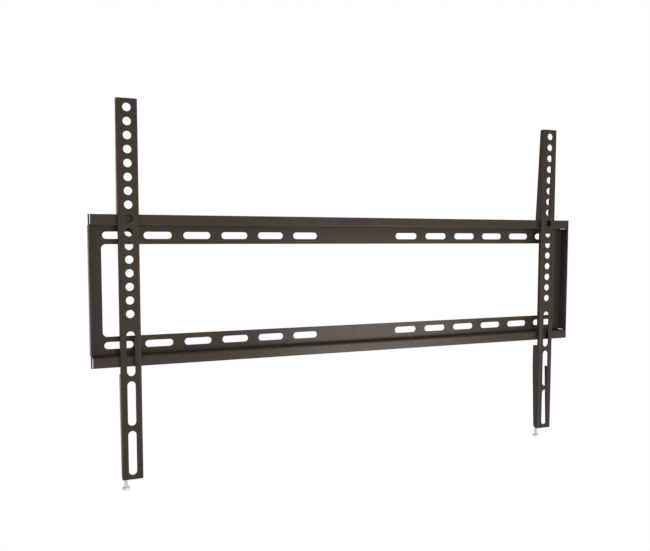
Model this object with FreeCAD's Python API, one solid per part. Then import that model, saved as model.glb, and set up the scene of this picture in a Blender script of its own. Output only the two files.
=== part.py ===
import FreeCAD, Part
import math
import os

os.makedirs("parts", exist_ok=True)

# Fixed wall mount for a flat television.
# A folded wall plate carries two channel brackets, which hook over its top lip. A long security screw in
# each bracket can be driven up under the bottom lip, so that the bracket can't be lifted off again.
# Millimetres. X runs to the viewer's right, Y into the wall, Z up. The origin is the middle of the wall
# plate's slot pattern, on the face that lies against the wall.

# Sheet steel, the same for the plate and the brackets
SHEET = 1.5
BEND_INSIDE = 0.5

# Wall plate: a shallow tray with an upward lip along its top and a downward lip along its bottom
# Its corners are notched, so that its four sides can be folded forward past each other
PLATE_WIDTH = 660.0
TRAY_DEPTH = 15.5
LIP_HEIGHT = 11.8
EAR_DEPTH = 5.2
NOTCH_PAST_BEND = 0.15
SHELF_GAP = 0.35

# Window in the wall plate
WINDOW_HEIGHT = 103.6
WINDOW_SIDE = 14.5
WINDOW_CORNER = 5.0

# Slots for the wall screws: a row above and a row below the window, each with a group at either end
WALL_SLOT_LENGTH = 32.0
WALL_SLOT_WIDTH = 8.0
WALL_SLOT_PITCH = 45.3
WALL_SLOTS_PER_GROUP = 6
WALL_SLOT_INSET = 31.85
WINDOW_TO_SLOT = 5.95
SLOT_TO_RAIL = 7.05

# Brackets: depths are taken from the front face, on which the television is fixed
MOUNT_DEPTH = 22.0
BRACKET_INSET = 41.9
BRACKET_WIDTH = 23.0
BRACKET_LENGTH = 420.9
HOOK_DROP = 124.85
TOP_DEPTH = 7.1
TOP_CORNER = 2.0
HOOK_DEPTH = 13.6
HOOK_FINGER = 8.0
HOOK_CORNER = 2.0
HOOK_PLAY = 0.3
SEAT_PLAY = 0.1
NECK_PLAY = 0.7
RELIEF_DEPTH = 4.3
RELIEF_HEIGHT = 9.4
FOOT_DEPTH = 13.1
FOOT_STAGGER = 31.2
END_DEPTH = 8.9
END_CORNER = 4.5
LIFT_ROOM = 8.6

# Holes and slots for the television's screws
HOLE_DIAMETER = 9.0
HOLE_PITCH = 15.0
FIRST_HOLE = 9.6
LEAST_HOLE_TO_SLOT = 10.0
BRACKET_SLOT_LENGTH = 50.0
BRACKET_SLOT_GAP = 6.0
BRACKET_SLOT_COUNT = 3
SLOT_TO_END = 5.05

# Security screw and the tapped lug that it runs in
SCREW_DIAMETER = 4.0
SCREW_LENGTH = 129.0
SCREW_INSET = 3.2
SCREW_TIP_SHOWING = 0.3
THREAD_PLAY = 0.05
HEAD_DIAMETER = 8.3
HEAD_HEIGHT = 3.5
HEAD_EDGE = 1.9
HEAD_BEVEL = 1.3
RECESS_WIDTH = 1.2
RECESS_SPAN = 4.6
RECESS_DEPTH = 2.0
LUG_LENGTH = 9.4
LUG_CORNER = 2.0
COLLAR_WALL = 0.9
COLLAR_LENGTH = 2.0

# What follows from them
BEND_OUTSIDE = BEND_INSIDE + SHEET
HALF_SHEET = SHEET / 2
HALF_WIDTH = PLATE_WIDTH / 2
SLOT_ROW = WINDOW_HEIGHT / 2 + WINDOW_TO_SLOT + WALL_SLOT_WIDTH / 2
RAIL_LEVEL = SLOT_ROW + WALL_SLOT_WIDTH / 2 + SLOT_TO_RAIL
HALF_HEIGHT = RAIL_LEVEL + LIP_HEIGHT
RAIL_HALF_WIDTH = HALF_WIDTH - BEND_OUTSIDE - NOTCH_PAST_BEND
FRONT_Y = -MOUNT_DEPTH
LIP_FRONT = MOUNT_DEPTH - TRAY_DEPTH
LIP_BACK = LIP_FRONT + SHEET
NECK_DEPTH = LIP_FRONT - NECK_PLAY
SEAT_Z = HALF_HEIGHT + SEAT_PLAY
BRACKET_TOP = SEAT_Z + HOOK_DROP
BRACKET_BOTTOM = BRACKET_TOP - BRACKET_LENGTH
LUG_TOP = -HALF_HEIGHT - LIFT_ROOM
FOOT_TOP = LUG_TOP - FOOT_STAGGER
FLANGE_INSIDE = BRACKET_WIDTH / 2 - SHEET
SCREW_X = -FLANGE_INSIDE + SCREW_INSET
SCREW_DEPTH = (RELIEF_DEPTH + FOOT_DEPTH) / 2
SCREW_TIP = LUG_TOP + SCREW_TIP_SHOWING
PAST = 1.0

V = FreeCAD.Vector


# Planes in which outlines are drawn

def in_xy(z):
    return lambda point: V(point.x, point.y, z)


def in_xz(y):
    return lambda point: V(point.x, y, point.y)


def in_yz(x):
    return lambda point: V(x, point.x, point.y)


# Outlines and the solids drawn from them

def outline(corners, plane):
    """Closed wire through corners (a, b, radius), each with a radius rounded by a tangent arc."""
    points = [V(a, b, 0) for a, b, radius in corners]
    turns = []
    for i, (a, b, radius) in enumerate(corners):
        here = points[i]
        back = (points[i - 1] - here).normalize()
        ahead = (points[(i + 1) % len(points)] - here).normalize()
        if radius == 0:
            turns.append((here, None, here))
            continue
        half_angle = back.getAngle(ahead) / 2
        reach = radius / math.tan(half_angle)
        inward = (back + ahead).normalize()
        middle = here + inward * (radius / math.sin(half_angle) - radius)
        turns.append((here + back * reach, middle, here + ahead * reach))
    edges = []
    for i, (start, middle, end) in enumerate(turns):
        if middle is not None:
            edges.append(Part.Arc(plane(start), plane(middle), plane(end)).toShape())
        following = turns[(i + 1) % len(turns)][0]
        if (following - end).Length > 1e-6:
            edges.append(Part.makeLine(plane(end), plane(following)))
    return Part.Wire(edges)


def prism(corners, plane, travel):
    return Part.Face(outline(corners, plane)).extrude(travel)


def rectangle(a_low, b_low, a_high, b_high, radius=0):
    corners = [(a_low, b_low), (a_high, b_low), (a_high, b_high), (a_low, b_high)]
    return [(a, b, radius) for a, b in corners]


def obround(a, b, a_size, b_size):
    """Corners of a slot with round ends, centred at (a, b)."""
    radius = min(a_size, b_size) / 2
    return rectangle(a - a_size / 2, b - b_size / 2, a + a_size / 2, b + b_size / 2, radius)


def folded(path):
    """Corners of a strip of sheet folded along path, the middle line of its thickness."""
    points = [V(a, b, 0) for a, b in path]
    runs = [(points[i + 1] - points[i]).normalize() for i in range(len(points) - 1)]
    left_side = []
    right_side = []
    for i, point in enumerate(points):
        before = runs[max(i - 1, 0)]
        after = runs[min(i, len(runs) - 1)]
        left_before = V(-before.y, before.x, 0)
        left_after = V(-after.y, after.x, 0)
        offset = (left_before + left_after) * (HALF_SHEET / (1 + left_before.dot(left_after)))
        turn = before.cross(after).z
        left_radius = BEND_INSIDE if turn > 0 else BEND_OUTSIDE
        right_radius = BEND_OUTSIDE if turn > 0 else BEND_INSIDE
        if turn == 0:
            left_radius = 0
            right_radius = 0
        left = point + offset
        right = point - offset
        left_side.append((left.x, left.y, left_radius))
        right_side.append((right.x, right.y, right_radius))
    return left_side + right_side[::-1]


def through_sheet(corners, back_face):
    """Cutter for an opening in a sheet that lies across Y, whose face towards the wall is at back_face."""
    return prism(corners, in_xz(back_face + PAST), V(0, -SHEET - 2 * PAST, 0))


# Wall plate

def rails():
    """The tray's back with its top and bottom folded forward and then out into the lips."""
    lip_y = -TRAY_DEPTH + HALF_SHEET
    back_y = -HALF_SHEET
    fold_z = RAIL_LEVEL + HALF_SHEET
    path = [(lip_y, HALF_HEIGHT), (lip_y, fold_z), (back_y, fold_z)]
    path += [(back_y, -fold_z), (lip_y, -fold_z), (lip_y, -HALF_HEIGHT)]
    return prism(folded(path), in_yz(-RAIL_HALF_WIDTH), V(2 * RAIL_HALF_WIDTH, 0, 0))


def side_wall(side):
    """One end folded forward, with ears at its front that stand beside the ends of the lips."""
    joint = side * (RAIL_HALF_WIDTH - BEND_OUTSIDE - WINDOW_SIDE / 4)
    wall_x = side * (HALF_WIDTH - HALF_SHEET)
    path = [(joint, -HALF_SHEET), (wall_x, -HALF_SHEET), (wall_x, -TRAY_DEPTH)]
    strip = prism(folded(path), in_xy(-HALF_HEIGHT), V(0, 0, 2 * HALF_HEIGHT))
    reach = RAIL_LEVEL - SHELF_GAP
    ear_back = -TRAY_DEPTH + EAR_DEPTH
    upper = [(-TRAY_DEPTH, HALF_HEIGHT, 0), (ear_back, HALF_HEIGHT, 0)]
    upper += [(ear_back, reach, 0), (PAST, reach, 0)]
    lower = [(a, -b, radius) for a, b, radius in reversed(upper)]
    trim = prism(upper + lower, in_yz(-HALF_WIDTH - PAST), V(PLATE_WIDTH + 2 * PAST, 0, 0))
    return strip.common(trim)


def wall_plate():
    plate = rails().fuse([side_wall(-1), side_wall(1)])
    half_window = HALF_WIDTH - WINDOW_SIDE
    window = rectangle(-half_window, -WINDOW_HEIGHT / 2, half_window, WINDOW_HEIGHT / 2, WINDOW_CORNER)
    cutters = [through_sheet(window, 0)]
    for row in (-1, 1):
        for side in (-1, 1):
            for i in range(WALL_SLOTS_PER_GROUP):
                slot_x = side * (HALF_WIDTH - WALL_SLOT_INSET - i * WALL_SLOT_PITCH)
                slot = obround(slot_x, row * SLOT_ROW, WALL_SLOT_LENGTH, WALL_SLOT_WIDTH)
                cutters.append(through_sheet(slot, 0))
    return plate.cut(cutters).removeSplitter()


# Brackets

def flange_top():
    """Outline of a flange, in depth and height, from the bracket's top down to the neck at the lip."""
    corners = [(-PAST, BRACKET_TOP, 0), (TOP_DEPTH, BRACKET_TOP, TOP_CORNER), (HOOK_DEPTH, SEAT_Z, 0)]
    corners += [(HOOK_DEPTH, SEAT_Z - HOOK_FINGER, HOOK_CORNER)]
    corners += [(LIP_BACK + HOOK_PLAY, SEAT_Z - HOOK_FINGER, HOOK_CORNER / 2)]
    corners += [(LIP_BACK + HOOK_PLAY, SEAT_Z, 0), (NECK_DEPTH, SEAT_Z, 0)]
    return corners


def flange_foot():
    """Outline of a flange along its tapered foot, down to the bracket's bottom."""
    return [(FOOT_DEPTH, FOOT_TOP, 0), (END_DEPTH, BRACKET_BOTTOM, END_CORNER), (-PAST, BRACKET_BOTTOM, 0)]


def left_flange():
    """Outline of the flange with the lug: its foot reaches up to the lug's fold, under a relief notch."""
    fold = LUG_TOP - BEND_OUTSIDE
    relief_top = LUG_TOP + RELIEF_HEIGHT
    corners = flange_top()
    corners += [(NECK_DEPTH, relief_top, 0), (RELIEF_DEPTH, relief_top, 0)]
    corners += [(RELIEF_DEPTH, fold, 0), (FOOT_DEPTH, fold, 0)]
    return corners + flange_foot()


def right_flange():
    """Outline of the plain flange, whose foot starts lower."""
    corners = flange_top()
    corners += [(NECK_DEPTH, FOOT_TOP, 0), (FOOT_DEPTH, FOOT_TOP, 0)]
    return corners + flange_foot()[1:]


def lug():
    """The top of the left flange's foot folded in over the channel, with a drawn, tapped collar."""
    flange_x = -FLANGE_INSIDE - HALF_SHEET
    lug_end = -FLANGE_INSIDE - SHEET + LUG_LENGTH
    fold_z = LUG_TOP - HALF_SHEET
    path = [(flange_x, LUG_TOP - BEND_OUTSIDE), (flange_x, fold_z), (lug_end, fold_z)]
    foot_width = V(0, FOOT_DEPTH - RELIEF_DEPTH, 0)
    sheet = prism(folded(path), in_xz(FRONT_Y + RELIEF_DEPTH), foot_width)
    plan = rectangle(-BRACKET_WIDTH, FRONT_Y + RELIEF_DEPTH, lug_end, FRONT_Y + FOOT_DEPTH, LUG_CORNER)
    below = in_xy(LUG_TOP - BEND_OUTSIDE - PAST)
    sheet = sheet.common(prism(plan, below, V(0, 0, BEND_OUTSIDE + 2 * PAST)))
    bore = SCREW_DIAMETER / 2 + THREAD_PLAY
    foot = V(SCREW_X, FRONT_Y + SCREW_DEPTH, LUG_TOP - SHEET - COLLAR_LENGTH)
    collar = Part.makeCylinder(bore + COLLAR_WALL, COLLAR_LENGTH + HALF_SHEET, foot)
    hole = Part.makeCylinder(bore, COLLAR_LENGTH + SHEET + 2 * PAST, foot - V(0, 0, PAST))
    return sheet.fuse(collar).cut(hole)


def bracket():
    """Channel with trimmed flanges, standing on the plate's middle line."""
    side_x = BRACKET_WIDTH / 2 - HALF_SHEET
    face_y = FRONT_Y + HALF_SHEET
    flange_y = FRONT_Y + max(HOOK_DEPTH, FOOT_DEPTH, TOP_DEPTH) + PAST
    path = [(-side_x, flange_y), (-side_x, face_y), (side_x, face_y), (side_x, flange_y)]
    channel = prism(folded(path), in_xy(BRACKET_BOTTOM), V(0, 0, BRACKET_LENGTH))
    trims = []
    for start, corners in ((-BRACKET_WIDTH, left_flange()), (0, right_flange())):
        placed = [(FRONT_Y + depth, z, radius) for depth, z, radius in corners]
        trims.append(prism(placed, in_yz(start), V(BRACKET_WIDTH, 0, 0)))
    body = channel.common(trims[0].fuse(trims[1])).fuse(lug())
    cutters = []
    slot_pitch = BRACKET_SLOT_LENGTH + BRACKET_SLOT_GAP
    lowest_slot = BRACKET_BOTTOM + SLOT_TO_END + BRACKET_SLOT_LENGTH / 2
    slots_top = BRACKET_BOTTOM + SLOT_TO_END + BRACKET_SLOT_COUNT * slot_pitch - BRACKET_SLOT_GAP
    first_z = BRACKET_TOP - FIRST_HOLE
    hole_count = int((first_z - slots_top - LEAST_HOLE_TO_SLOT) / HOLE_PITCH) + 1
    for i in range(hole_count):
        hole = obround(0, first_z - i * HOLE_PITCH, HOLE_DIAMETER, HOLE_DIAMETER)
        cutters.append(through_sheet(hole, FRONT_Y + SHEET))
    for i in range(BRACKET_SLOT_COUNT):
        slot = obround(0, lowest_slot + i * slot_pitch, HOLE_DIAMETER, BRACKET_SLOT_LENGTH)
        cutters.append(through_sheet(slot, FRONT_Y + SHEET))
    return body.cut(cutters).removeSplitter()


# Security screws

def screw():
    """Pan-head screw, head down, in the lug of a bracket that stands on the plate's middle line."""
    radius = SCREW_DIAMETER / 2
    head_radius = HEAD_DIAMETER / 2
    head_top = SCREW_TIP - SCREW_LENGTH
    head_bottom = head_top - HEAD_HEIGHT
    profile = [(0, SCREW_TIP, 0), (radius, SCREW_TIP, 0), (radius, head_top, 0)]
    profile += [(head_radius, head_top, 0), (head_radius, head_top - HEAD_EDGE, 0)]
    profile += [(head_radius - HEAD_BEVEL, head_bottom, 0), (0, head_bottom, 0)]
    body = Part.Face(outline(profile, in_xz(0))).revolve(V(0, 0, 0), V(0, 0, 1), 360)
    half_span = RECESS_SPAN / 2
    half_recess = RECESS_WIDTH / 2
    recess_start = in_xy(head_bottom - PAST)
    recess_travel = V(0, 0, RECESS_DEPTH + PAST)
    across = prism(rectangle(-half_span, -half_recess, half_span, half_recess), recess_start, recess_travel)
    along = prism(rectangle(-half_recess, -half_span, half_recess, half_span), recess_start, recess_travel)
    body = body.cut([across, along])
    body.translate(V(SCREW_X, FRONT_Y + SCREW_DEPTH, 0))
    return body


wall_plate().exportStep("parts/wall_plate.step")
for name, side in (("left", -1), ("right", 1)):
    place = V(side * (HALF_WIDTH - BRACKET_INSET), 0, 0)
    bracket().translated(place).exportStep("parts/" + name + "_tv_bracket.step")
    screw().translated(place).exportStep("parts/" + name + "_security_screw.step")
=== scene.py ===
# %% [markdown]
# # A television wall mount in black powder coat
#
# The real object is folded steel sheet: a long slotted plate that is screwed to the wall, and two
# channels that are screwed to the television and hook over the plate's top lip. A long zinc-plated
# screw in each channel can be driven up under the bottom lip, so that nobody lifts the television off
# by accident.
#
# The construction is already there, as a fixed frame of solids in their true places. This lesson loads
# that frame and gives every piece its finish. The box of the bare frame is kept, to be compared with
# the box of the dressed model at the end.

# %% Load the fixed frame
import math

import bmesh
import bpy
from mathutils import Matrix, Vector


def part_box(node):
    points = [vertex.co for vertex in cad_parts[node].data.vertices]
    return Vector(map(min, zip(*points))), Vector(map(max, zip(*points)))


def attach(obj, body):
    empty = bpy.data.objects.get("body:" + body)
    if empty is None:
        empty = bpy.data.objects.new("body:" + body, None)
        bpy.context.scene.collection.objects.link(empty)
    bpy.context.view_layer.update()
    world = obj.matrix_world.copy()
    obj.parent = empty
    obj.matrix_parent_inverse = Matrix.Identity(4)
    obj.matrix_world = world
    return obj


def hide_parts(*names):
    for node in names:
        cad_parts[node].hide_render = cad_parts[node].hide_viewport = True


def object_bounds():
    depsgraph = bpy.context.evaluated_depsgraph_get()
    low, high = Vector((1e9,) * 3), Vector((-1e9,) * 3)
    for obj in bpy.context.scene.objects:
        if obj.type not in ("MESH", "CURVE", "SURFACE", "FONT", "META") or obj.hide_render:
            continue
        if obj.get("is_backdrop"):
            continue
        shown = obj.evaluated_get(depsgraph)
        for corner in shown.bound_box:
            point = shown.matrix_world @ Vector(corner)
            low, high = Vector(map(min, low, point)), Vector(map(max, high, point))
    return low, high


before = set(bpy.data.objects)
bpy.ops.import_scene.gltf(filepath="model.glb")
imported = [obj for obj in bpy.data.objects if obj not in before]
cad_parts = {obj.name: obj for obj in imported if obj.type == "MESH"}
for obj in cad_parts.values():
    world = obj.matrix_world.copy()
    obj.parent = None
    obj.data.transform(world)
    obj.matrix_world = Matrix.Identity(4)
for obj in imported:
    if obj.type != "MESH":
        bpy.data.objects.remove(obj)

cad_low, cad_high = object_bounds()
scene = bpy.context.scene
MM = 0.001
print("nodes:", sorted(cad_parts))
print("size in mm:", [round((high - low) / MM, 1) for low, high in zip(cad_low, cad_high)])

# %% [markdown]
# ## Three small helpers
#
# Colours are easiest to read as the hex values of a paint card. Those are sRGB values and shaders want
# linear light, so one function turns one into the other, by the curve that defines sRGB. Node trees are
# built in code all through the lesson, so a second function adds a node, sets its properties, and fills
# or links its inputs in one call. A third one clears the nodes that Blender puts into a new material or
# world.


# %% Colour and node helpers
def linear(hex_colour):
    """Linear red, green, blue and alpha of an sRGB colour such as #2A251F."""
    shares = [int(hex_colour[i:i + 2], 16) / 255 for i in (1, 3, 5)]
    return tuple(c / 12.92 if c <= 0.04045 else ((c + 0.055) / 1.055) ** 2.4 for c in shares) + (1.0,)


def add_node(tree, kind, inputs=(), **settings):
    """A new node. inputs maps a socket's name or number to a value, or to the output that feeds it."""
    node = tree.nodes.new(kind)
    for name, value in settings.items():
        setattr(node, name, value)
    for key, value in dict(inputs).items():
        if isinstance(value, bpy.types.NodeSocket):
            tree.links.new(value, node.inputs[key])
        else:
            node.inputs[key].default_value = value
    return node


def empty_tree(owner):
    """The cleared node tree of a material or a world."""
    owner.use_nodes = True
    owner.node_tree.nodes.clear()
    return owner.node_tree


print("a warm black in linear light:", [round(c, 4) for c in linear("#2A251F")])

# %% [markdown]
# ## The camera
#
# The picture is taken from the left of the mount, a little above its middle, with an ordinary lens. The
# camera's place was worked out from the straight edges of the plate and the even pitch of the holes.
# The picture's middle is a little off the lens's axis, and the small shift brings that back.

# %% Camera
PICTURE_WIDTH = 650
PICTURE_HEIGHT = 551
FOCAL_PIXELS = 711.7
LENS_AXIS_ACROSS = 314.5
LENS_AXIS_DOWN = 291.75
SENSOR_MM = 36.0
CAMERA_PLACE = Vector((-0.4020, -0.8211, 0.0552))
CAMERA_YAW = 0.396
CAMERA_PITCH = 0.071

lens = bpy.data.cameras.new("camera")
lens.sensor_width = SENSOR_MM
lens.lens = SENSOR_MM * FOCAL_PIXELS / PICTURE_WIDTH
lens.shift_x = (PICTURE_WIDTH / 2 - LENS_AXIS_ACROSS) / PICTURE_WIDTH
lens.shift_y = (LENS_AXIS_DOWN - PICTURE_HEIGHT / 2) / PICTURE_WIDTH
camera = bpy.data.objects.new("camera", lens)
camera.location = CAMERA_PLACE
camera.rotation_euler = (math.pi / 2 - CAMERA_PITCH, 0, -CAMERA_YAW)
scene.collection.objects.link(camera)
scene.camera = camera
print("lens %.1f mm, shift %.4f and %.4f" % (lens.lens, lens.shift_x, lens.shift_y))

# %% [markdown]
# ## The stage
#
# The mount hangs free in front of pure white. A backdrop close behind it would catch its shadow, so the
# white comes from a glowing floor well below it and from the world. A world that looks white to the
# camera would wash out black paint if it also lit it that strongly, so the camera sees one world and
# the paint is lit by another: softer, slightly warm, even all round as between white walls, and a
# little weaker from above, where the shelf of the bottom rail stays dark. The floor's glow is kept off
# the mount in the same way. The view transform is the plain one, in which white stays white.

# %% Floor and world
FLOOR_LEVEL = -0.80
FLOOR_HALF = 6.0
WHITE = "#FFFFFF"
WHITE_STRENGTH = 1.0
STUDIO_TINT = "#FFF7EC"
LIGHT_ALL_ROUND = 0.63
LIGHT_FROM_ABOVE = 0.47
TOWARDS_DIM = Vector((-0.15, -0.3, 0.95))
DIM_STARTS = -0.2
DIM_ENDS = 0.7

floor_white = bpy.data.materials.new("white_light_table")
tree = empty_tree(floor_white)
glow = add_node(tree, "ShaderNodeEmission", {"Color": linear(WHITE), "Strength": WHITE_STRENGTH})
add_node(tree, "ShaderNodeOutputMaterial", {"Surface": glow.outputs[0]})

floor_corners = [
    (x * FLOOR_HALF, y * FLOOR_HALF, FLOOR_LEVEL) for x, y in ((-1, -1), (1, -1), (1, 1), (-1, 1))]
floor_mesh = bpy.data.meshes.new("floor")
floor_mesh.from_pydata(floor_corners, [], [(0, 1, 2, 3)])
floor_mesh.materials.append(floor_white)
floor = bpy.data.objects.new("floor", floor_mesh)
floor.visible_diffuse = False
floor.visible_glossy = False
scene.collection.objects.link(floor)
floor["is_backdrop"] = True

world = bpy.data.worlds.new("white_studio")
tree = empty_tree(world)
direction = add_node(tree, "ShaderNodeTexCoord").outputs["Generated"]
upward = add_node(tree, "ShaderNodeVectorMath", {
    0: direction, 1: TOWARDS_DIM}, operation="DOT_PRODUCT")
fade = add_node(tree, "ShaderNodeMapRange", {
    "Value": upward.outputs["Value"], "From Min": DIM_STARTS, "From Max": DIM_ENDS,
    "To Min": LIGHT_ALL_ROUND, "To Max": LIGHT_FROM_ABOVE})
lit = add_node(tree, "ShaderNodeBackground", {
    "Color": linear(STUDIO_TINT), "Strength": fade.outputs[0]})
seen = add_node(tree, "ShaderNodeBackground", {"Color": linear(WHITE), "Strength": WHITE_STRENGTH})
direct = add_node(tree, "ShaderNodeLightPath").outputs["Is Camera Ray"]
both = add_node(tree, "ShaderNodeMixShader", {0: direct, 1: lit.outputs[0], 2: seen.outputs[0]})
add_node(tree, "ShaderNodeOutputWorld", {"Surface": both.outputs[0]})
scene.world = world
scene.view_settings.view_transform = "Standard"
print("floor at %.2f m, light %.2f, from above %.2f" % (FLOOR_LEVEL, LIGHT_ALL_ROUND, LIGHT_FROM_ABOVE))

# %% [markdown]
# ## The sheen
#
# The bottom rail carries a broad warm sheen in its middle, and the top rail a faint one in the same
# place. A flat face shows a light where it mirrors it towards the eye, so the sheen says where the
# light stands: low in front, to the right. The rail's middle and the camera give its direction, and
# the length of the sheen gives its width. A sheen painted into the coat would be simpler, but it would
# stay where it is when the view changes.

# %% Low softbox
SHEEN_CENTRE = Vector((0.018, -0.0155, -0.080))
SOFTBOX_AWAY = 1.6
SOFTBOX_SIDE = 0.62
SOFTBOX_POWER = 6.2
SOFTBOX_TINT = "#FFEAE1"

to_eye = (CAMERA_PLACE - SHEEN_CENTRE).normalized()
mirrored = Vector((-to_eye.x, to_eye.y, -to_eye.z))
box_light = bpy.data.lights.new("low_softbox", "AREA")
box_light.size = SOFTBOX_SIDE
box_light.energy = SOFTBOX_POWER
box_light.color = linear(SOFTBOX_TINT)[:3]
softbox = bpy.data.objects.new("low_softbox", box_light)
softbox.location = SHEEN_CENTRE + SOFTBOX_AWAY * mirrored
softbox.rotation_euler = (-mirrored).to_track_quat("-Z", "Y").to_euler()
scene.collection.objects.link(softbox)
print("softbox at", [round(c, 2) for c in softbox.location])

# %% [markdown]
# ## The fill
#
# The recessed faces of the plate are nearly as bright as the raised ones, so a second, broader light
# stands behind the camera and shines straight into every recess. A brighter world would lift them too,
# but with them the gloss of every face. The plate would mirror the fill as another sheen on its left,
# so it is hidden from reflections: it lights the paint's own colour, and the gloss is left to the
# softbox and the world.

# %% Camera fill
FILL_PLACE = Vector((-0.15, -1.85, 0))
FILL_SIDE = 0.9
FILL_POWER = 19.0

fill_light = bpy.data.lights.new("camera_fill", "AREA")
fill_light.size = FILL_SIDE
fill_light.energy = FILL_POWER
fill_light.color = linear(STUDIO_TINT)[:3]
fill = bpy.data.objects.new("camera_fill", fill_light)
fill.location = FILL_PLACE
fill.rotation_euler = (-FILL_PLACE).to_track_quat("-Z", "Y").to_euler()
fill.visible_glossy = False
scene.collection.objects.link(fill)
print("fill light at", [round(c, 2) for c in fill.location])

# %% [markdown]
# ## Black powder coat
#
# The punched and folded sheet is dusted with charged polyester powder and baked. The powder melts into
# one skin over every edge, warm black and half glossy, with a faint orange peel: low waves about two
# millimetres long, drawn here a little higher than on a smooth coat, so that they show. The skin pulls
# back from an edge and is thinner there, and the edges are drawn a shade lighter: a painted highlight
# along every edge. Slow, faint clouds of tone are left by the spray. A picture of paint would need a map
# of every fold and would show its seams. Noise in the object's own coordinates has none, so it draws the
# waves and the clouds, and the painted edge highlight is placed by how sharply the surface bends.
#
# Clear polyester has an index of refraction near 1.5. It is set lower here, because the flats in the
# picture shine less than that index would make them.

# %% Powder coat material
ORANGE_PEEL_MM = 2.0
PEEL_HEIGHT_MM = 0.009
PEEL_DETAIL = 1.0
CLOUD_MM = 45.0
CLOUD_DETAIL = 3.0
COAT_DEEP = "#2E2A26"
COAT_PALE = "#322E29"
# The edges are painted this paler colour as a highlight
COAT_EDGE_HIGHLIGHT = "#423D39"
COAT_IOR = 1.33
COAT_ROUGHNESS = (0.20, 0.28)
# Pointiness range over which the painted edge highlight fades in
EDGE_HIGHLIGHT_BEND = (0.52, 0.62)
NOISE_LOW = 0.3
NOISE_HIGH = 0.7


def powder_coat():
    """Warm black, half-gloss powder coat: orange peel in the gloss, clouds in the tone, painted edge
    highlight.
    """
    material = bpy.data.materials.new("black_powder_coat")
    tree = empty_tree(material)
    place = add_node(tree, "ShaderNodeTexCoord").outputs["Object"]
    cloud = add_node(tree, "ShaderNodeTexNoise", {
        "Vector": place, "Scale": 1 / (CLOUD_MM * MM), "Detail": CLOUD_DETAIL})
    tone = add_node(tree, "ShaderNodeMix", {
        "Factor": cloud.outputs[0], "A": linear(COAT_DEEP), "B": linear(COAT_PALE)}, data_type="RGBA")
    peel = add_node(tree, "ShaderNodeTexNoise", {
        "Vector": place, "Scale": 1 / (ORANGE_PEEL_MM * MM), "Detail": PEEL_DETAIL})
    gloss = add_node(tree, "ShaderNodeMapRange", {
        "Value": peel.outputs[0], "From Min": NOISE_LOW, "From Max": NOISE_HIGH,
        "To Min": COAT_ROUGHNESS[0], "To Max": COAT_ROUGHNESS[1]})
    wave = add_node(tree, "ShaderNodeBump", {
        "Height": peel.outputs[0], "Distance": PEEL_HEIGHT_MM * MM})
    # Painted highlight: the more sharply the surface bends, the paler the coat is drawn
    bend = add_node(tree, "ShaderNodeNewGeometry").outputs["Pointiness"]
    painted_edge_highlight = add_node(tree, "ShaderNodeMapRange", {
        "Value": bend, "From Min": EDGE_HIGHLIGHT_BEND[0], "From Max": EDGE_HIGHLIGHT_BEND[1]})
    tone_with_highlight = add_node(tree, "ShaderNodeMix", {
        "Factor": painted_edge_highlight.outputs[0], "A": tone.outputs[2], "B": linear(COAT_EDGE_HIGHLIGHT)}, data_type="RGBA")
    skin = add_node(tree, "ShaderNodeBsdfPrincipled", {
        "Base Color": tone_with_highlight.outputs[2], "Roughness": gloss.outputs[0], "Normal": wave.outputs[0],
        "IOR": COAT_IOR})
    add_node(tree, "ShaderNodeOutputMaterial", {"Surface": skin.outputs[0]})
    return material


black_coat = powder_coat()
print("made", black_coat.name, "with", len(black_coat.node_tree.nodes), "nodes")

# %% [markdown]
# ## Bright zinc plate
#
# The screws are steel with a few thousandths of a millimetre of bright zinc: a pale, cool metal with a
# soft shine. Its tone drifts a little along the shaft, and its shine has a grain, drawn coarser than
# the real one so that it shows. Both are noise, as in the coat.
#
# Bare metal is all mirror. The fill light is hidden from mirrors, so beside a black channel such a
# screw would come out darker than in the picture. It is therefore made half mirror and half matt,
# matched to how pale the screws look there.

# %% Zinc plate material
ZINC_DRIFT_MM = 6.0
ZINC_DRIFT_DETAIL = 2.0
ZINC_GRAIN_MM = 0.35
ZINC_GRAIN_DETAIL = 1.0
ZINC_PALE = "#F6F7FA"
ZINC_DEEP = "#E9EBEF"
ZINC_MIRROR_SHARE = 0.5
ZINC_ROUGHNESS = (0.38, 0.50)


def zinc_plate():
    """Bright zinc on steel: a pale metal with a soft, grained shine and a slow drift of tone."""
    material = bpy.data.materials.new("bright_zinc_plate")
    tree = empty_tree(material)
    place = add_node(tree, "ShaderNodeTexCoord").outputs["Object"]
    drift = add_node(tree, "ShaderNodeTexNoise", {
        "Vector": place, "Scale": 1 / (ZINC_DRIFT_MM * MM), "Detail": ZINC_DRIFT_DETAIL})
    tone = add_node(tree, "ShaderNodeMix", {
        "Factor": drift.outputs[0], "A": linear(ZINC_DEEP), "B": linear(ZINC_PALE)}, data_type="RGBA")
    grain = add_node(tree, "ShaderNodeTexNoise", {
        "Vector": place, "Scale": 1 / (ZINC_GRAIN_MM * MM), "Detail": ZINC_GRAIN_DETAIL})
    shine = add_node(tree, "ShaderNodeMapRange", {
        "Value": grain.outputs[0], "From Min": NOISE_LOW, "From Max": NOISE_HIGH,
        "To Min": ZINC_ROUGHNESS[0], "To Max": ZINC_ROUGHNESS[1]})
    metal = add_node(tree, "ShaderNodeBsdfPrincipled", {
        "Base Color": tone.outputs[2], "Metallic": ZINC_MIRROR_SHARE, "Roughness": shine.outputs[0]})
    add_node(tree, "ShaderNodeOutputMaterial", {"Surface": metal.outputs[0]})
    return material


bright_zinc = zinc_plate()
print("made", bright_zinc.name, "with", len(bright_zinc.node_tree.nodes), "nodes")

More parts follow.
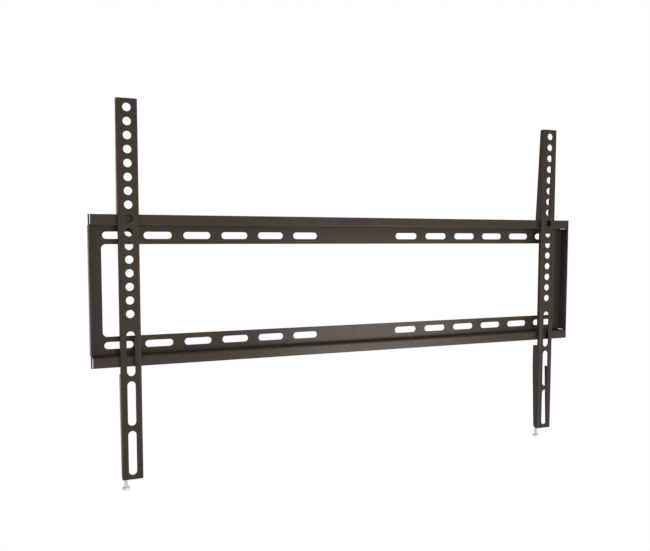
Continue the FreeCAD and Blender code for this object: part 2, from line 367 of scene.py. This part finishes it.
# %% [markdown]
# ## Coated sheet
#
# The solids of the plate and the two channels already have the true folds, slots and hooks, but their
# edges are knife sharp. Punched edges are slightly rolled over, and the coat rounds them further, which
# is what catches light along every slot. Rounding each edge by hand would be endless, so each piece is
# a copy of its solid: the copy's loose triangles are merged, hair-thin steps between them are closed,
# because a bevel would fold over there, and flat faces are made whole again. A bevel then rounds what
# is left of the sharp edges. It isn't clamped, because the narrowest flat would then hold back the
# rounding of every edge. The price is that it stands out by up to its own width at a few spots where
# two folds nearly meet. Shading follows the larger face wherever a flat meets a fold, so that flats
# stay flat to the eye.

# %% Coated pieces
EDGE_ROUND_MM = 0.15
EDGE_STEPS = 2
SHARP_ANGLE = math.radians(35)
FLAT_ANGLE = math.radians(0.3)
MERGE_MM = 0.001
HAIR_MM = 0.02
FLAT_WEIGHT = 100
SHEET_BODIES = {
    "wall_plate": "wall_plate", "left_tv_bracket": "left_bracket", "right_tv_bracket": "right_bracket"}


def coated_sheet(node_name, body):
    """A copy of a sheet-metal solid with rounded edges and the black coat, riding on body."""
    shape = bmesh.new()
    shape.from_mesh(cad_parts[node_name].data)
    bmesh.ops.remove_doubles(shape, verts=shape.verts[:], dist=MERGE_MM * MM)
    bmesh.ops.dissolve_degenerate(shape, dist=HAIR_MM * MM, edges=shape.edges[:])
    bmesh.ops.dissolve_limit(
        shape, angle_limit=FLAT_ANGLE, verts=shape.verts[:], edges=shape.edges[:])
    for face in shape.faces:
        face.smooth = True
    mesh = bpy.data.meshes.new(node_name + "_coated")
    shape.to_mesh(mesh)
    shape.free()
    mesh.materials.clear()
    mesh.materials.append(black_coat)
    piece = bpy.data.objects.new(node_name + "_coated", mesh)
    scene.collection.objects.link(piece)
    rounding = piece.modifiers.new("rolled_edges", "BEVEL")
    rounding.width = EDGE_ROUND_MM * MM
    rounding.segments = EDGE_STEPS
    rounding.limit_method = "ANGLE"
    rounding.angle_limit = SHARP_ANGLE
    rounding.use_clamp_overlap = False
    flattening = piece.modifiers.new("flat_faces_lead", "WEIGHTED_NORMAL")
    flattening.mode = "FACE_AREA"
    flattening.weight = FLAT_WEIGHT
    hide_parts(node_name)
    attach(piece, body)
    print(piece.name, "has", len(mesh.polygons), "faces before its edges are rounded")


for node_name, body in SHEET_BODIES.items():
    coated_sheet(node_name, body)

# %% [markdown]
# ## The security screw's head
#
# It is a pan head with a cross recess. A cut sphere could serve as its dome, but half its outline, spun
# once round the axis as on a lathe, gives the underside, the edge and the dome at once. The head hangs
# below the origin, and the shaft will rise from the origin, so that both can be set down together where
# the screw belongs. The underside is closed for now with a disc where the shaft will stand, because the
# recess is cut by a Boolean, which needs a closed shape.

# %% Turned head
SCREW_SIDES = 24
SHAFT_RADIUS_MM = 2.0
HEAD_HEIGHT_MM = 3.5
HEAD_EDGE_MM = 1.9
HEAD_ROUND_MM = 0.25
DOME_STEPS = 7
DOME_FULLNESS = 2.5
screw_low, screw_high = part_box("left_security_screw")
HEAD_RADIUS_MM = (screw_high[0] - screw_low[0]) / 2 / MM


def head_outline():
    """Points of half the head's outline, from the shaft along the underside and round the dome."""
    rim = HEAD_RADIUS_MM - HEAD_ROUND_MM
    points = [(SHAFT_RADIUS_MM, 0), (rim, 0), (HEAD_RADIUS_MM, -HEAD_ROUND_MM)]
    for step in range(DOME_STEPS + 1):
        turn = step / DOME_STEPS * math.pi / 2
        out = HEAD_RADIUS_MM * max(math.cos(turn), 0) ** (2 / DOME_FULLNESS)
        bulge = math.sin(turn) ** (2 / DOME_FULLNESS)
        points.append((out, -HEAD_EDGE_MM - (HEAD_HEIGHT_MM - HEAD_EDGE_MM) * bulge))
    return [Vector((out * MM, 0, level * MM)) for out, level in points]


def turned_head():
    """The head without its recess, as an object."""
    shape = bmesh.new()
    ring = [shape.verts.new(point) for point in head_outline()]
    edges = [shape.edges.new(pair) for pair in zip(ring, ring[1:])]
    bmesh.ops.spin(
        shape, geom=ring + edges, axis=(0, 0, 1), cent=(0, 0, 0), angle=2 * math.pi, steps=SCREW_SIDES)
    bmesh.ops.remove_doubles(shape, verts=shape.verts[:], dist=MERGE_MM * MM)
    open_rim = [edge for edge in shape.edges if edge.is_boundary]
    bmesh.ops.holes_fill(shape, edges=open_rim, sides=0)
    bmesh.ops.recalc_face_normals(shape, faces=shape.faces[:])
    mesh = bpy.data.meshes.new("screw_head")
    shape.to_mesh(mesh)
    shape.free()
    return bpy.data.objects.new("screw_head", mesh)


head = turned_head()
scene.collection.objects.link(head)
print("turned head: %.1f mm across, %d faces" % (2 * HEAD_RADIUS_MM, len(head.data.polygons)))

# %% [markdown]
# ## The cross recess
#
# A cross recess is two tapered wings that cross. It could be pushed into the mesh point by point, but
# then the dome round it would have to be mended, so two tapered blocks are taken away from the turned
# head instead. The disc under the shaft is opened again afterwards, so that shaft and head can become
# one skin.

# %% Cross recess
RECESS_SPAN_MM = 4.6
RECESS_WIDTH_MM = 1.2
RECESS_DEPTH_MM = 2.0
RECESS_TAPER = 0.45
CUT_PAST_MM = 0.25


def recess_wing(turn):
    """A tapered block for one bar of the cross, wide at the drive face and narrow at the recess's floor."""
    drive_face = -HEAD_HEIGHT_MM * MM
    shape = bmesh.new()
    bmesh.ops.create_cube(shape, size=1.0)
    for vert in shape.verts:
        deep = vert.co.z > 0
        share = RECESS_TAPER if deep else 1.0
        vert.co.x *= RECESS_SPAN_MM * MM * share
        vert.co.y *= RECESS_WIDTH_MM * MM * share
        vert.co.z = drive_face + (RECESS_DEPTH_MM * MM if deep else -CUT_PAST_MM * MM)
    bmesh.ops.rotate(shape, verts=shape.verts[:], matrix=Matrix.Rotation(turn, 3, "Z"))
    mesh = bpy.data.meshes.new("recess_wing")
    shape.to_mesh(mesh)
    shape.free()
    return bpy.data.objects.new("recess_wing", mesh)


wings = [recess_wing(turn) for turn in (0, math.pi / 2)]
for wing in wings:
    scene.collection.objects.link(wing)
    cut = head.modifiers.new("cross_recess", "BOOLEAN")
    cut.operation = "DIFFERENCE"
    cut.object = wing
bpy.context.view_layer.update()
head_mesh = bpy.data.meshes.new_from_object(
    head.evaluated_get(bpy.context.evaluated_depsgraph_get()))
head.modifiers.clear()
head.data = head_mesh
for wing in wings:
    bpy.data.objects.remove(wing)

shape = bmesh.new()
shape.from_mesh(head_mesh)
near_origin = SHAFT_RADIUS_MM * MM / 2
disc = [face for face in shape.faces if face.calc_center_median().length < near_origin]
bmesh.ops.delete(shape, geom=disc, context="FACES_ONLY")
shape.to_mesh(head_mesh)
shape.free()
print("head with its recess: %d faces" % len(head_mesh.polygons))

# %% [markdown]
# ## The security screw's thread
#
# A rolled thread is one profile that climbs a helix, so a rule can draw it: Geometry Nodes start from a
# flat grid, roll it into a tube and let it climb one pitch in a turn. Rows of the grid then follow the
# helix by themselves, and the row's number alone says whether it is a crest or a root: the depth of the
# thread goes up and down once in a pitch, which is what the ping-pong does. A helix curve with a swept
# profile would also do, but it can't taper at the tip and run out into the head as simply: here both
# are one smaller-of or larger-of.

# %% Rolled thread
PITCH_MM = 0.7
THREAD_DEPTH_MM = 0.43
TIP_RADIUS_MM = 1.4
ROWS_PER_TURN = 4
HALF_PITCH = 0.5


def rolled_thread(tree, given):
    """Nodes for the shaft: a grid rolled into a threaded tube that rises from the origin."""
    # The grid has one column more than the tube has sides, because its first and last column meet
    columns = add_node(tree, "ShaderNodeMath", {0: given["Sides"], 1: 1.0}, operation="ADD")
    grid = add_node(tree, "GeometryNodeMeshGrid", {
        "Size X": 1.0, "Size Y": 1.0, "Vertices X": given["Rows"], "Vertices Y": columns.outputs[0]})
    share = add_node(tree, "ShaderNodeSeparateXYZ", {0: grid.outputs["UV Map"]})

    # Height: each row climbs one pitch in a turn, from a turn below the origin, cut off level at both ends
    climbed = add_node(tree, "ShaderNodeMath", {
        0: share.outputs["X"], 1: given["Turns"]}, operation="MULTIPLY")
    turned = add_node(tree, "ShaderNodeMath", {
        0: climbed.outputs[0], 1: share.outputs["Y"]}, operation="ADD")
    from_start = add_node(tree, "ShaderNodeMath", {0: turned.outputs[0], 1: 1.0}, operation="SUBTRACT")
    rise = add_node(tree, "ShaderNodeMath", {
        0: from_start.outputs[0], 1: given["Pitch"]}, operation="MULTIPLY")
    level = add_node(tree, "ShaderNodeClamp", {
        "Value": rise.outputs[0], "Min": 0.0, "Max": given["Length"]})

    # Radius of the thread: full at a crest, less by the thread's depth half a pitch on
    flank = add_node(tree, "ShaderNodeMath", {
        0: climbed.outputs[0], 1: HALF_PITCH}, operation="PINGPONG")
    share_deep = add_node(tree, "ShaderNodeMath", {
        0: flank.outputs[0], 1: HALF_PITCH}, operation="DIVIDE")
    depth = add_node(tree, "ShaderNodeMath", {
        0: share_deep.outputs[0], 1: given["Thread depth"]}, operation="MULTIPLY")
    thread = add_node(tree, "ShaderNodeMath", {
        0: given["Shaft radius"], 1: depth.outputs[0]}, operation="SUBTRACT")

    # The tip tapers like a cone, and the thread runs out into the full shaft at the head
    to_tip = add_node(tree, "ShaderNodeMath", {
        0: given["Length"], 1: level.outputs[0]}, operation="SUBTRACT")
    cone = add_node(tree, "ShaderNodeMath", {
        0: to_tip.outputs[0], 1: given["Tip radius"]}, operation="ADD")
    tapered = add_node(tree, "ShaderNodeMath", {
        0: thread.outputs[0], 1: cone.outputs[0]}, operation="MINIMUM")
    neck = add_node(tree, "ShaderNodeMath", {
        0: given["Shaft radius"], 1: level.outputs[0]}, operation="SUBTRACT")
    radius = add_node(tree, "ShaderNodeMath", {
        0: tapered.outputs[0], 1: neck.outputs[0]}, operation="MAXIMUM")

    # Each point is set out at its radius and height, and turned to its place round the axis
    angle = add_node(tree, "ShaderNodeMath", {
        0: share.outputs["Y"], 1: 2 * math.pi}, operation="MULTIPLY")
    straight = add_node(tree, "ShaderNodeCombineXYZ", {"X": radius.outputs[0], "Z": level.outputs[0]})
    rolled = add_node(tree, "ShaderNodeVectorRotate", {
        "Vector": straight.outputs[0], "Angle": angle.outputs[0]}, rotation_type="Z_AXIS")
    shaft = add_node(tree, "GeometryNodeSetPosition", {
        "Geometry": grid.outputs["Mesh"], "Position": rolled.outputs[0]})
    return shaft.outputs[0]


print("thread: %.1f mm a turn, %.2f mm deep" % (PITCH_MM, THREAD_DEPTH_MM))

# %% [markdown]
# ## The whole screw as a tree
#
# The tree joins the threaded shaft, a disc that closes its tip and the finished head, and merges their
# rims, so that it gives one closed screw, in its place and with its finish. Its sizes are inputs with
# names, so the same tree serves both screws.

# %% Screw tree
TREE_MERGE_MM = 0.002
SCREW_INPUTS = {
    "Shaft radius": "NodeSocketFloat", "Thread depth": "NodeSocketFloat", "Pitch": "NodeSocketFloat",
    "Length": "NodeSocketFloat", "Tip radius": "NodeSocketFloat", "Turns": "NodeSocketInt",
    "Rows": "NodeSocketInt", "Sides": "NodeSocketInt", "Head": "NodeSocketObject",
    "Place": "NodeSocketVector", "Finish": "NodeSocketMaterial"}


def security_screw_tree():
    """Geometry Nodes tree of a threaded screw: shaft up from the origin, head below, moved to Place."""
    tree = bpy.data.node_groups.new("security_screw", "GeometryNodeTree")
    for name, kind in SCREW_INPUTS.items():
        tree.interface.new_socket(name=name, in_out="INPUT", socket_type=kind)
    tree.interface.new_socket(name="Screw", in_out="OUTPUT", socket_type="NodeSocketGeometry")
    given = add_node(tree, "NodeGroupInput").outputs
    shaft = rolled_thread(tree, given)
    disc = add_node(tree, "GeometryNodeMeshCircle", {
        "Vertices": given["Sides"], "Radius": given["Tip radius"]}, fill_type="NGON")
    tip_place = add_node(tree, "ShaderNodeCombineXYZ", {"Z": given["Length"]})
    tip = add_node(tree, "GeometryNodeTransform", {
        "Geometry": disc.outputs[0], "Translation": tip_place.outputs[0]})
    head_part = add_node(tree, "GeometryNodeObjectInfo", {"Object": given["Head"]})
    parts = add_node(tree, "GeometryNodeJoinGeometry")
    for part in (shaft, tip.outputs[0], head_part.outputs["Geometry"]):
        tree.links.new(part, parts.inputs[0])
    whole = add_node(tree, "GeometryNodeMergeByDistance", {
        "Geometry": parts.outputs[0], "Distance": TREE_MERGE_MM * MM})
    placed = add_node(tree, "GeometryNodeTransform", {
        "Geometry": whole.outputs[0], "Translation": given["Place"]})
    real = add_node(tree, "GeometryNodeRealizeInstances", {0: placed.outputs[0]})
    plated = add_node(tree, "GeometryNodeSetMaterial", {
        "Geometry": real.outputs[0], "Material": given["Finish"]})
    add_node(tree, "NodeGroupOutput", {0: plated.outputs[0]})
    return tree


screw_tree = security_screw_tree()
print("screw tree:", len(screw_tree.nodes), "nodes")

# %% [markdown]
# ## Setting the screws
#
# Each screw's place is read from the box of the solid it stands for: the axis runs through the middle
# of the box, and the head's underside lies one head's height above its bottom. The tree's result
# becomes a plain mesh, one for each screw, because every screw moves with a body of its own.

# %% Two security screws
SCREW_BODIES = {"left_security_screw": "left_screw", "right_security_screw": "right_screw"}


def screw_values(node_name):
    """The tree's inputs for the screw that stands for a node."""
    low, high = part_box(node_name)
    length = high[2] - low[2] - HEAD_HEIGHT_MM * MM
    turns = math.ceil(length / (PITCH_MM * MM)) + 1
    place = ((low[0] + high[0]) / 2, (low[1] + high[1]) / 2, low[2] + HEAD_HEIGHT_MM * MM)
    return {
        "Shaft radius": SHAFT_RADIUS_MM * MM, "Thread depth": THREAD_DEPTH_MM * MM,
        "Pitch": PITCH_MM * MM, "Length": length, "Tip radius": TIP_RADIUS_MM * MM, "Turns": turns,
        "Rows": turns * ROWS_PER_TURN + 1, "Sides": SCREW_SIDES, "Head": head, "Place": place,
        "Finish": bright_zinc}


def set_screw(node_name, body):
    """A threaded screw in place of a plain solid, riding on body."""
    values = screw_values(node_name)
    draft_name = node_name + "_draft"
    draft = bpy.data.objects.new(draft_name, bpy.data.meshes.new(draft_name))
    modifier = draft.modifiers.new("security_screw", "NODES")
    modifier.node_group = screw_tree
    for socket in screw_tree.interface.items_tree:
        if socket.in_out == "INPUT":
            modifier[socket.identifier] = values[socket.name]
    scene.collection.objects.link(draft)
    bpy.context.view_layer.update()
    mesh = bpy.data.meshes.new_from_object(
        draft.evaluated_get(bpy.context.evaluated_depsgraph_get()))
    draft.modifiers.clear()
    bpy.data.objects.remove(draft)

    shape = bmesh.new()
    shape.from_mesh(mesh)
    bmesh.ops.recalc_face_normals(shape, faces=shape.faces[:])
    for face in shape.faces:
        face.smooth = True
    for edge in shape.edges:
        edge.smooth = edge.calc_face_angle(math.pi) < SHARP_ANGLE
    open_edges = sum(1 for edge in shape.edges if not edge.is_manifold)
    shape.to_mesh(mesh)
    shape.free()

    piece = bpy.data.objects.new(node_name + "_threaded", mesh)
    scene.collection.objects.link(piece)
    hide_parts(node_name)
    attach(piece, body)
    print(piece.name, "has", len(mesh.polygons), "faces and", open_edges, "open edges")


for node_name, body in SCREW_BODIES.items():
    set_screw(node_name, body)
bpy.data.objects.remove(head)

# %% [markdown]
#
# The dressed model fills the box of the bare frame, give or take the rounding of an edge. The two boxes
# are compared, and the most by which the new one reaches past the old is printed.

# %% Boxes before and after
new_low, new_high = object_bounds()
past_low = max(cad - new for cad, new in zip(cad_low, new_low))
past_high = max(new - cad for cad, new in zip(cad_high, new_high))
print("grew by at most %.3f mm" % (max(past_low, past_high) / MM))
